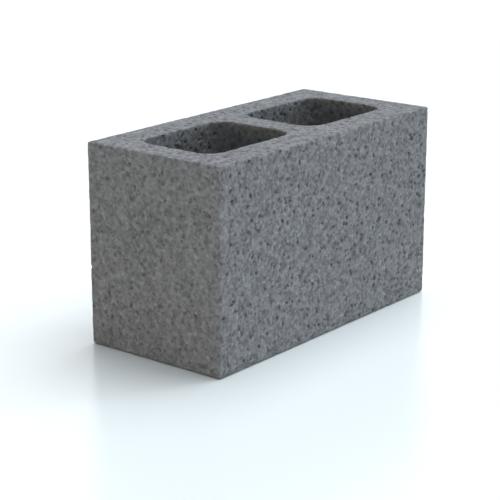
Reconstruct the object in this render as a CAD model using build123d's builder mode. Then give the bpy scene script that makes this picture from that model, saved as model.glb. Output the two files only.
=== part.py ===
from build123d import *
import os

# Two-core concrete block, cast in one piece, in millimetres.
# It stands on its lower bed face. The origin is the middle of that face, with +X along the
# length, +Y across the width and +Z up.

# Overall size
block_length = 220.0
block_width = 105.0
block_height = 130.0

# Walls at the upper bed face, where the mould's draft leaves them thickest
end_wall = 20.0
side_wall = 22.5
middle_web = 20.0

# Cores: the upright corners' radius at the upper bed face, and the draft in degrees
core_corner_radius = 12.0
core_draft = 0.7

# Worn arrises, outside and round the cores' rims
arris_radius = 1.0
core_rim_radius = 0.8

# What the walls and the web leave open at the upper bed face
core_length = (block_length - 2 * end_wall - middle_web) / 2
core_width = block_width - 2 * side_wall
core_pitch = core_length + middle_web

with BuildPart() as block:
    # The cast prism, with its four upright arrises worn
    with BuildSketch():
        Rectangle(block_length, block_width)
    extrude(amount=block_height)
    fillet(block.edges().filter_by(Axis.Z), arris_radius)

    # Two cores right through. The draft opens them towards the lower bed face, and turns
    # their rounded corners into cones.
    with BuildSketch(Plane.XY.offset(block_height)):
        with GridLocations(core_pitch, 0, 2, 1):
            RectangleRounded(core_length, core_width, core_corner_radius)
    extrude(amount=-block_height, taper=-core_draft, mode=Mode.SUBTRACT)

    # The outer arris of both bed faces
    bed_faces = block.faces().filter_by(Axis.Z)
    fillet([edge for face in bed_faces for edge in face.outer_wire().edges()], arris_radius)

    # The rims of the cores in both bed faces
    bed_faces = block.faces().filter_by(Axis.Z)
    rims = [wire for face in bed_faces for wire in face.inner_wires()]
    fillet([edge for rim in rims for edge in rim.edges()], core_rim_radius)

block.part.label = "block"

os.makedirs("parts", exist_ok=True)
export_step(block.part, "parts/block.step")
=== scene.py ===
import math

import bmesh
import bpy
import numpy as np
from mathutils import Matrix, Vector


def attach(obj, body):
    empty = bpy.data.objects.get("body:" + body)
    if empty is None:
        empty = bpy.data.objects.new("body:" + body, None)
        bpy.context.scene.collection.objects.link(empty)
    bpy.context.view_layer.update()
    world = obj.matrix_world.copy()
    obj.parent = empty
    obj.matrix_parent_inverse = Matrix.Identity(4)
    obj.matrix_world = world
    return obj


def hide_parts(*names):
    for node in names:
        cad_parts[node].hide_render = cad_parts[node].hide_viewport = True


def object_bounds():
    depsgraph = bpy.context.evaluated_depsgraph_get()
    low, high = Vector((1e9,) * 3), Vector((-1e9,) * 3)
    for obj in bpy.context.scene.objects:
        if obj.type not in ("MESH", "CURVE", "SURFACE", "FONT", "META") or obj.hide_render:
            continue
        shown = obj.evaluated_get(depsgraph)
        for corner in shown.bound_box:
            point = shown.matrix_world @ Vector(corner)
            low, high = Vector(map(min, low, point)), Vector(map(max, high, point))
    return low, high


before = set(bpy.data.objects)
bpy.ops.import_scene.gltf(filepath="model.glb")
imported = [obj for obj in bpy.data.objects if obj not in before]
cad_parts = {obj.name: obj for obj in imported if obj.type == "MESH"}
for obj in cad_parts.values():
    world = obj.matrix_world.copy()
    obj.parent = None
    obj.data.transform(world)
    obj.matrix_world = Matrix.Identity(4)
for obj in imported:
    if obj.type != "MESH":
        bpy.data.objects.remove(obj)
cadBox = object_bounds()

# A two-core concrete block on a white studio floor.
# Blender works in metres here. The casting's own patterns are written in millimetres.

mm = 0.001


# node helpers, for geometry trees and shader trees alike

def addNode(tree, kind, settings=None, feeds=None):
    # feeds are links where they are sockets, and plain values otherwise
    made = tree.nodes.new(kind)
    for name, value in (settings or {}).items():
        setattr(made, name, value)
    for socket, value in (feeds or {}).items():
        if isinstance(value, bpy.types.NodeSocket):
            tree.links.new(value, made.inputs[socket])
        else:
            made.inputs[socket].default_value = value
    return made


def sums(tree, operation, first, second=0.0, clamp=False):
    # one step of arithmetic on numbers, as the next one is on vectors
    settings = {"operation": operation, "use_clamp": clamp}
    return addNode(tree, "ShaderNodeMath", settings, {0: first, 1: second}).outputs[0]


def vectors(tree, operation, first, second=None, scale=None):
    feeds = {0: first}
    if second is not None:
        feeds[1] = second
    if scale is not None:
        feeds["Scale"] = scale
    return addNode(tree, "ShaderNodeVectorMath", {"operation": operation}, feeds).outputs[0]


def ramp(tree, value, fromLow, fromHigh, toLow=0.0, toHigh=1.0):
    # a soft step from one value to the other
    feeds = {"Value": value, "From Min": fromLow, "From Max": fromHigh}
    feeds.update({"To Min": toLow, "To Max": toHigh})
    settings = {"interpolation_type": "SMOOTHSTEP"}
    return addNode(tree, "ShaderNodeMapRange", settings, feeds).outputs[0]


def cloud(tree, place, size, shift, detail=3.0, roughness=0.55):
    # noise whose lumps are about size mm across, from 0 to 1. Another shift is another pattern
    feeds = {"Vector": place, "W": shift, "Scale": 1 / size, "Detail": detail}
    feeds.update({"Roughness": roughness})
    settings = {"noise_dimensions": "4D"}
    return addNode(tree, "ShaderNodeTexNoise", settings, feeds)


def stepped(tree, noise, lumps):
    # the noise as a soft step between the two values that the lumps' dictionary gives
    return ramp(tree, noise, lumps["low"], lumps["high"], lumps["from"], lumps["to"])


def cells(tree, place, size, draw=(17.1, 29.3, 41.7)):
    # each place's distance in mm from the middle of its cell, and that cell's lot from 0 to 1.
    # The cell's colour is also where its middle lies, so the lot mixes all three channels.
    feeds = {"Vector": place, "Scale": 1 / size, "Randomness": 1.0}
    cell = addNode(tree, "ShaderNodeTexVoronoi", {"feature": "F1"}, feeds)
    mixed = addNode(tree, "ShaderNodeVectorMath", {"operation": "DOT_PRODUCT"},
                    {0: cell.outputs["Color"], 1: draw}).outputs["Value"]
    return sums(tree, "MULTIPLY", cell.outputs["Distance"], size), sums(tree, "FRACT", mixed)


# air pores: the same fields cut them into the mesh and paint shade into them in the material, with a
# little dust

openPores = {
    "spacing": 2.95,     # mm between the middles of neighbouring cells
    "share": 0.96,       # of the cells that hold a pore
    "radius": 1.95,      # mm, the largest
    "many small": 1.30,  # higher gives more small pores and fewer large ones
    "ragged": 2.7,       # mm that the outlines wander
    "lobes": 0.6,        # of the spacing, the size of those wanderings
    "wall": 1.3,         # mm from a pore's rim to its full depth
    "depth": 0.55,       # of its own radius
    "shade": 0.75,       # painted shade: its floor's grey against the face's
    "shift": 7.0,
}
finePores = {
    "spacing": 2.1,
    "share": 0.65,
    "radius": 0.85,
    "many small": 1.0,
    "ragged": 1.4,
    "lobes": 0.6,
    "wall": 0.4,
    "depth": 0.55,
    # painted shade on the small pores' floors
    "shade": 0.90,
    "shift": 7.0,
}


def poreField(tree, place, pores):
    # how far inside a pore this place is, in mm, and the pore's own radius
    lobes = pores["lobes"] * pores["spacing"]
    wander = cloud(tree, place, lobes, pores["shift"], detail=2.0).outputs["Color"]
    wander = vectors(tree, "SUBTRACT", wander, (0.5, 0.5, 0.5))
    warped = vectors(tree, "ADD", place, vectors(tree, "SCALE", wander, scale=pores["ragged"]))
    reach, lot = cells(tree, warped, pores["spacing"])
    radius = addNode(tree, "ShaderNodeMapRange", feeds={
        "Value": lot, "From Min": 1 - pores["share"], "From Max": 1.0}).outputs[0]
    radius = sums(tree, "POWER", radius, pores["many small"])
    radius = sums(tree, "MULTIPLY", radius, pores["radius"])
    return sums(tree, "SUBTRACT", radius, reach), radius


# shallow hollows between the stones: sunk into the mesh, and in the material painted with shade at
# their bottoms and a paler grey on the crests

hollows = {
    "size": 2.8,    # mm
    "low": 0.34,    # the noise at the bottom of a hollow
    "high": 0.62,   # and on the crests between
    "shade": 0.71,  # painted shade: the grey at the bottom against the face's
    "crest": 1.16,  # and on the crests
    "depth": 0.16,  # mm
    "shift": 4.0,
}


def hollowField(tree, place, deep, high):
    # deep at the bottom of a hollow, high on the crests
    lumps = cloud(tree, place, hollows["size"], hollows["shift"]).outputs[0]
    return ramp(tree, lumps, hollows["low"], hollows["high"], deep, high)


# the casting: the CAD solid's skin, remeshed finely enough to take the pores as real pits

casting = {
    "voxel": 0.6 * mm,
    "quick voxel": 1.2 * mm,
    "triangles": 196000,
    # mm that the faces dip between the mould's high spots
    "waves": {"size": 16.0, "low": 0.30, "high": 0.70, "from": 0.0, "to": 0.10, "shift": 5.0},
    "corner cut": 7,        # passes of blur over the surface, which cut its corners
    # the share of that cut, from the least worn patches to the most worn
    "wear": {"size": 7.0, "low": 0.42, "high": 0.68, "from": 0.1, "to": 0.85, "shift": 11.0},
    "full wear": 0.3 * mm,  # the cut that counts as an arris worn right down
    "calm ends": 0.14,      # how much weaker the texture is on sides that face along the block
    "sharp": 36.0,          # degrees
    "folded": 100.0,        # degrees, an edge that thinning has bent further than this is eased
    "easing passes": 12,    # at most
    "easing step": 0.5,     # of the way to the middle of the neighbours
}


def boldness(tree, facing):
    # how strong the texture is on a side that faces this way
    size = vectors(tree, "ABSOLUTE", facing)
    along = addNode(tree, "ShaderNodeSeparateXYZ", feeds={0: size}).outputs[0]
    return sums(tree, "SUBTRACT", 1.0, sums(tree, "MULTIPLY", along, casting["calm ends"]))


def pitDepth(tree, place, facing):
    # mm that the surface sinks here: pores, then the hollows and the long waves
    depth = 0.0
    for pores in (openPores, finePores):
        inside, radius = poreField(tree, place, pores)
        bowl = sums(tree, "MULTIPLY", ramp(tree, inside, 0.0, pores["wall"]), radius)
        depth = sums(tree, "MAXIMUM", sums(tree, "MULTIPLY", bowl, pores["depth"]), depth)
    depth = sums(tree, "ADD", depth, hollowField(tree, place, hollows["depth"], 0.0))
    depth = sums(tree, "MULTIPLY", depth, boldness(tree, facing))
    waves = casting["waves"]
    noise = cloud(tree, place, waves["size"], waves["shift"], detail=2.0).outputs[0]
    return sums(tree, "ADD", depth, stepped(tree, noise, waves))


def arrisCut(tree, here, place):
    # arrises rub off in patches: a blurred copy of the surface cuts the corner
    blurred = addNode(tree, "GeometryNodeBlurAttribute", {"data_type": "FLOAT_VECTOR"},
                      {"Iterations": casting["corner cut"], "Value": here})
    blurred = next(out for out in blurred.outputs if out.enabled)
    cut = vectors(tree, "SUBTRACT", blurred, here)
    wear = casting["wear"]
    noise = cloud(tree, place, wear["size"], wear["shift"]).outputs[0]
    return vectors(tree, "SCALE", cut, scale=stepped(tree, noise, wear))


def keepOnPoints(tree, geometry, name, kind, value):
    feeds = {"Geometry": geometry, "Name": name, "Value": value}
    settings = {"data_type": kind, "domain": "POINT"}
    return addNode(tree, "GeometryNodeStoreNamedAttribute", settings, feeds).outputs[0]


def carveTree(name):
    tree = bpy.data.node_groups.new(name, "GeometryNodeTree")
    tree.interface.new_socket("Geometry", in_out="INPUT", socket_type="NodeSocketGeometry")
    tree.interface.new_socket("Geometry", in_out="OUTPUT", socket_type="NodeSocketGeometry")
    start = tree.nodes.new("NodeGroupInput").outputs[0]
    end = tree.nodes.new("NodeGroupOutput").inputs[0]

    here = addNode(tree, "GeometryNodeInputPosition").outputs[0]
    facing = addNode(tree, "GeometryNodeInputNormal").outputs[0]
    place = vectors(tree, "SCALE", here, scale=1 / mm)
    depth = pitDepth(tree, place, facing)
    cut = arrisCut(tree, here, place)
    cutLength = addNode(tree, "ShaderNodeVectorMath", {"operation": "LENGTH"}, {0: cut})
    wear = sums(tree, "DIVIDE", cutLength.outputs["Value"], casting["full wear"])

    # the material finds the same places again by what is kept here before anything moves
    kept = keepOnPoints(tree, start, "castPlace", "FLOAT_VECTOR", place)
    kept = keepOnPoints(tree, kept, "castFacing", "FLOAT_VECTOR", facing)
    kept = keepOnPoints(tree, kept, "castWear", "FLOAT", wear)
    sunk = vectors(tree, "SCALE", facing, scale=sums(tree, "MULTIPLY", depth, -mm))
    moved = addNode(tree, "GeometryNodeSetPosition", feeds={
        "Geometry": kept, "Offset": vectors(tree, "ADD", cut, sunk)})
    tree.links.new(moved.outputs[0], end)
    return tree


def foldedEdges(work):
    limit = math.radians(casting["folded"])
    return [edge for edge in work.edges if edge.is_manifold and edge.calc_face_angle() > limit]


def easeFolds(mesh):
    # thinning folds a few triangles over: their corners are drawn to the middle of their neighbours
    work = bmesh.new()
    work.from_mesh(mesh)
    folded = foldedEdges(work)
    print("folded edges:", len(folded))
    passes = 0
    while folded and passes < casting["easing passes"]:
        bent = {corner for edge in folded for face in edge.link_faces for corner in face.verts}
        bent = sorted(bent, key=lambda corner: corner.index)
        bmesh.ops.smooth_vert(work, verts=bent, factor=casting["easing step"],
                              use_axis_x=True, use_axis_y=True, use_axis_z=True)
        folded = foldedEdges(work)
        passes += 1
    print("left after", passes, "passes:", len(folded))
    work.to_mesh(mesh)
    work.free()


def keepInBox(mesh):
    # nothing stands proud of the mould's own faces
    places = np.empty(3 * len(mesh.vertices), np.float32)
    mesh.vertices.foreach_get("co", places)
    places = np.clip(places.reshape(-1, 3), cadBox[0], cadBox[1])
    mesh.vertices.foreach_set("co", places.ravel())
    mesh.update()


def workIn(piece):
    # the piece's modifiers become its mesh
    view = bpy.context.evaluated_depsgraph_get()
    mesh = bpy.data.meshes.new_from_object(piece.evaluated_get(view))
    piece.modifiers.clear()
    piece.data = mesh
    return mesh


def castBlock(node):
    block = bpy.data.objects.new("block_casting", node.data.copy())
    bpy.context.collection.objects.link(block)
    remesh = block.modifiers.new("even skin", "REMESH")
    remesh.mode = "VOXEL"
    remesh.voxel_size = casting["voxel"]
    carve = block.modifiers.new("pores and wear", "NODES")
    carve.node_group = carveTree("carve the casting")
    carved = workIn(block)
    print("carved skin:", len(carved.polygons), "faces")

    # its faces are squares, each two triangles
    thin = block.modifiers.new("fewer faces", "DECIMATE")
    thin.ratio = min(1.0, casting["triangles"] / (2 * len(carved.polygons)))
    thin.use_collapse_triangulate = True
    block.modifiers.new("triangles only", "TRIANGULATE")
    thinned = workIn(block)
    easeFolds(thinned)
    keepInBox(thinned)
    thinned.shade_smooth()
    thinned.set_sharp_from_angle(angle=math.radians(casting["sharp"]))
    print("casting:", len(thinned.polygons), "faces")
    return block


# the casting's UV map, for baking: its sides laid flat on one square sheet, all at one scale
# but for the core walls

bakeSheet = {
    "gap": 3.0,          # mm between neighbouring sides
    "core scale": 0.74,
    "skin": 10.0,        # mm, how near the outside a side has to lie to be an outer one
}

# what a side faces along, and whose it is
alongX, alongY, alongZ = 0, 1, 2
outerSkin, leftCore, rightCore = 0, 1, 2


def cornersOf(mesh, name):
    # a vector attribute at each triangle's three corners
    found = np.empty(3 * len(mesh.vertices), np.float32)
    mesh.attributes[name].data.foreach_get("vector", found)
    vertices = np.empty(len(mesh.loops), np.int32)
    mesh.loops.foreach_get("vertex_index", vertices)
    return found.reshape(-1, 3)[vertices].reshape(-1, 3, 3)


def layOutMap(mesh):
    # a triangle's side: the axis it looked along before carving, up or down that axis, and its core
    corners = cornersOf(mesh, "castPlace")
    facing = cornersOf(mesh, "castFacing").mean(1)
    axis = np.abs(facing).argmax(1)
    every = np.arange(len(axis))
    upwards = facing[every, axis] > 0
    middle = corners.mean(1)
    outside = np.where(upwards, corners.max((0, 1))[axis], corners.min((0, 1))[axis])
    inCore = np.abs(outside - middle[every, axis]) > bakeSheet["skin"]
    core = np.where(inCore, np.where(middle[:, alongX] < 0, leftCore, rightCore), outerSkin)

    gap = bakeSheet["gap"]
    uv = np.zeros((len(axis), 3, 2))

    def placeRow(sides, x, y, scale):
        # sides is a row of (axis, upwards, core); returns where the next ones may start
        top = y
        for side in sides:
            chosen = (axis == side[0]) & (upwards == side[1]) & (core == side[2])
            across = [i for i in (alongX, alongY, alongZ) if i != side[0]]
            flat = corners[chosen][:, :, across]
            flat = (flat - flat.min((0, 1))) * scale
            uv[chosen] = flat + (x, y)
            x += flat[:, :, 0].max() + gap
            top = max(top, y + flat[:, :, 1].max() + gap)
        return x, top

    longSides = [(alongY, False, outerSkin), (alongY, True, outerSkin)]
    beds = [(alongZ, True, outerSkin), (alongZ, False, outerSkin)]
    ends = [(alongX, False, outerSkin), (alongX, True, outerSkin)]
    faceTop = placeRow(longSides, gap, gap, 1.0)[1]
    bedTop = placeRow(beds, gap, faceTop, 1.0)[1]
    endEdge = placeRow(ends, gap, bedTop, 1.0)[0]
    nextTop = bedTop
    for number in (leftCore, rightCore):
        walls = [(alongX, True, number), (alongY, False, number),
                 (alongX, False, number), (alongY, True, number)]
        nextTop = placeRow(walls, endEdge, nextTop, bakeSheet["core scale"])[1]
    sheet = uv.max() + gap
    uv /= sheet
    mesh.uv_layers.new(name="OFBake").uv.foreach_set("vector", uv.astype(np.float32).ravel())
    print("map laid out on a sheet", round(float(sheet)), "mm square")


# concrete: sand and small stones in a grey paste, with shade painted where the surface is open

concretePaste = {
    "grey": (0.263, 0.268, 0.275),
    # each of these three multiplies the grey, from its first value to its second
    "patches": {"size": 13.0, "low": 0.30, "high": 0.70, "from": 0.94, "to": 1.06, "shift": 1.0},
    "sand": {"size": 1.5, "low": 0.25, "high": 0.75, "from": 0.89, "to": 1.14, "shift": 2.0},
    "grain": {"size": 0.5, "low": 0.30, "high": 0.70, "from": 0.87, "to": 1.14, "shift": 3.0},
    "stone size": 2.6,           # mm
    "stone rim": (0.25, 0.50),   # of that size, where a stone begins to fade and where it ends
    "stones": 0.28,              # how much paler or darker the small stones are
    "pore rim": 0.05,            # mm outside a pore where its painted shade begins
    "pore floor": 0.6,           # of a pore's wall, where its painted shade is darkest
    "pale arris": 0.10,          # how much paler a worn arris is
    "pale from": 0.1,            # of full wear
    "noise span": (0.2, 0.8),    # the noise where sand and grain lie lowest and highest
    "relief": 0.14,              # mm between those places, for the sand
    "grain relief": 0.07,        # mm, for the grain
    "roughness": (1.0, 0.88),    # where the sand lies lowest and highest
    "shine": 0.25,
}


def concreteMaterial(paste):
    made = bpy.data.materials.new("concrete")
    made.use_nodes = True
    tree = made.node_tree
    tree.nodes.clear()
    place = addNode(tree, "ShaderNodeAttribute", {"attribute_name": "castPlace"}).outputs["Vector"]
    wear = addNode(tree, "ShaderNodeAttribute", {"attribute_name": "castWear"}).outputs["Fac"]
    facing = addNode(tree, "ShaderNodeAttribute", {"attribute_name": "castFacing"}).outputs["Vector"]

    # brightness is one number that multiplies the grey
    bright = ramp(tree, wear, paste["pale from"], 1.0, 1.0, 1 + paste["pale arris"])
    # painted shade at the bottom of each hollow, paler on the crests
    paintedHollowShade = hollowField(tree, place, hollows["shade"], hollows["crest"])
    bright = sums(tree, "MULTIPLY", bright, paintedHollowShade)
    noises = {}
    for name in ("patches", "sand", "grain"):
        lumps = paste[name]
        noises[name] = cloud(tree, place, lumps["size"], lumps["shift"]).outputs[0]
        bright = sums(tree, "MULTIPLY", bright, stepped(tree, noises[name], lumps))

    reach, lot = cells(tree, place, paste["stone size"])
    fade, edge = (share * paste["stone size"] for share in paste["stone rim"])
    tone = ramp(tree, lot, 0.0, 1.0, -paste["stones"], paste["stones"])
    tone = sums(tree, "MULTIPLY", tone, ramp(tree, reach, edge, fade))
    bright = sums(tree, "MULTIPLY", bright, sums(tree, "ADD", tone, 1.0))

    # painted shade in the pores, with a little dust, darkest on their floors
    for pores in (openPores, finePores):
        inside = poreField(tree, place, pores)[0]
        darkest = paste["pore floor"] * pores["wall"]
        shade = ramp(tree, inside, -paste["pore rim"], darkest, 1.0, pores["shade"])
        bright = sums(tree, "MULTIPLY", bright, shade)

    contrast = sums(tree, "MULTIPLY", sums(tree, "SUBTRACT", bright, 1.0), boldness(tree, facing))
    bright = sums(tree, "ADD", contrast, 1.0)
    grey = addNode(tree, "ShaderNodeCombineXYZ", feeds=dict(enumerate(paste["grey"]))).outputs[0]
    colour = vectors(tree, "SCALE", grey, scale=bright)

    # the relief of the sand and of its grain, in mm
    height = ramp(tree, noises["sand"], *paste["noise span"], 0.0, paste["relief"])
    fine = ramp(tree, noises["grain"], *paste["noise span"], 0.0, paste["grain relief"])
    height = sums(tree, "ADD", height, fine)
    bump = addNode(tree, "ShaderNodeBump", feeds={"Strength": 1.0, "Distance": mm, "Height": height})

    skin = addNode(tree, "ShaderNodeBsdfPrincipled", feeds={
        "Base Color": colour, "Specular IOR Level": paste["shine"],
        "Roughness": ramp(tree, noises["sand"], *paste["noise span"], *paste["roughness"]),
        "Normal": bump.outputs[0]})
    addNode(tree, "ShaderNodeOutputMaterial", {"is_active_output": True},
            {"Surface": skin.outputs[0]})
    return made


block = castBlock(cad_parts["block"])
layOutMap(block.data)
block.data.materials.clear()
block.data.materials.append(concreteMaterial(concretePaste))
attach(block, "root")
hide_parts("block")
print("block dressed")


# studio: a white polished floor, a broad lamp overhead and two weak ones low at the sides

studio = {
    "floor half": 6.0,        # m, half its side
    "floor gap": 0.2 * mm,    # below the block
    "floor white": 0.68,      # for all but the camera
    "floor as seen": (1.11, 1.18, 1.18, 1),  # for the camera, a white that is cool in the shade
    "floor gloss": {"IOR": 1.75, "roughness": 0.22},
    "ambient": (0.20, 0.205, 0.21),
}
lamps = {
    "top lamp": {"strength": 0.742, "spread": 55, "from": (0.32, -0.085, 1.0),
                 "colour": (0.965, 1.0, 1.05)},
    "right lamp": {"strength": 0.21, "spread": 8, "from": (0.87, -0.45, 0.20),
                   "colour": (0.66, 0.94, 1.12)},
    "left lamp": {"strength": 0.086, "spread": 6, "from": (-1.0, 0.1, 0.055),
                  "colour": (0.95, 0.78, 0.53)},
}


def hangLamp(name, facts):
    light = bpy.data.lights.new(name, "SUN")
    light.energy = facts["strength"] * math.pi  # strength 1 shows a white face as white
    light.angle = math.radians(facts["spread"])
    light.color = facts["colour"]
    made = bpy.data.objects.new(name, light)
    made.rotation_euler = Vector(facts["from"]).to_track_quat("Z", "Y").to_euler()
    bpy.context.collection.objects.link(made)


def floorMaterial():
    made = bpy.data.materials.new("polished white floor")
    made.use_nodes = True
    tree = made.node_tree
    tree.nodes.clear()
    seen = addNode(tree, "ShaderNodeLightPath").outputs["Is Camera Ray"]
    plain = (*[studio["floor white"]] * 3, 1)
    # a colour mix takes its two colours in at 6 and 7 and gives the mixed one at 2
    white = addNode(tree, "ShaderNodeMix", {"data_type": "RGBA", "clamp_factor": True},
                    {0: seen, 6: plain, 7: studio["floor as seen"]}).outputs[2]
    body = addNode(tree, "ShaderNodeBsdfDiffuse", feeds={"Color": white})
    gloss = studio["floor gloss"]
    polish = addNode(tree, "ShaderNodeBsdfGlossy", feeds={
        "Color": (1, 1, 1, 1), "Roughness": gloss["roughness"]})
    edge = addNode(tree, "ShaderNodeFresnel", feeds={"IOR": gloss["IOR"]})
    skin = addNode(tree, "ShaderNodeMixShader", feeds={
        0: edge.outputs[0], 1: body.outputs[0], 2: polish.outputs[0]})
    addNode(tree, "ShaderNodeOutputMaterial", feeds={"Surface": skin.outputs[0]})
    return made


def layFloor():
    half = studio["floor half"]
    mesh = bpy.data.meshes.new("floor")
    corners = [(-half, -half, 0), (half, -half, 0), (half, half, 0), (-half, half, 0)]
    mesh.from_pydata(corners, [], [(0, 1, 2, 3)])
    mesh.materials.append(floorMaterial())
    floor = bpy.data.objects.new("floor", mesh)
    floor.location.z = -studio["floor gap"]
    bpy.context.collection.objects.link(floor)


def studioWorld():
    # white to the camera and in reflections, and a weak grey as a light
    world = bpy.data.worlds.new("studio")
    bpy.context.scene.world = world
    world.use_nodes = True
    tree = world.node_tree
    tree.nodes.clear()
    path = addNode(tree, "ShaderNodeLightPath")
    seen = sums(tree, "ADD", path.outputs["Is Camera Ray"], path.outputs["Is Glossy Ray"])
    seen = sums(tree, "ADD", seen, path.outputs["Is Transmission Ray"], clamp=True)
    ambient = addNode(tree, "ShaderNodeBackground", feeds={"Color": (*studio["ambient"], 1)})
    white = addNode(tree, "ShaderNodeBackground", feeds={"Color": (1, 1, 1, 1)})
    both = addNode(tree, "ShaderNodeMixShader", feeds={
        0: seen, 1: ambient.outputs[0], 2: white.outputs[0]})
    addNode(tree, "ShaderNodeOutputWorld", feeds={"Surface": both.outputs[0]})


layFloor()
studioWorld()
for name, facts in lamps.items():
    hangLamp(name, facts)
print("studio lit")


# camera, at the photograph's viewing angle

viewpoint = {
    "stands at": (-0.805, -0.631, 0.348),   # m
    "looks at": (-0.0164, 0.0, 0.0491),
    "lens": 117.3,   # mm
    "sensor": 36.0,  # mm
}


def setCamera():
    lens = bpy.data.cameras.new("camera")
    lens.lens = viewpoint["lens"]
    lens.sensor_width = viewpoint["sensor"]
    camera = bpy.data.objects.new("camera", lens)
    camera.location = viewpoint["stands at"]
    away = Vector(viewpoint["stands at"]) - Vector(viewpoint["looks at"])
    camera.rotation_euler = away.to_track_quat("Z", "Y").to_euler()
    bpy.context.collection.objects.link(camera)
    bpy.context.scene.camera = camera


setCamera()
bpy.context.scene.view_settings.view_transform = "Standard"
print("camera set")
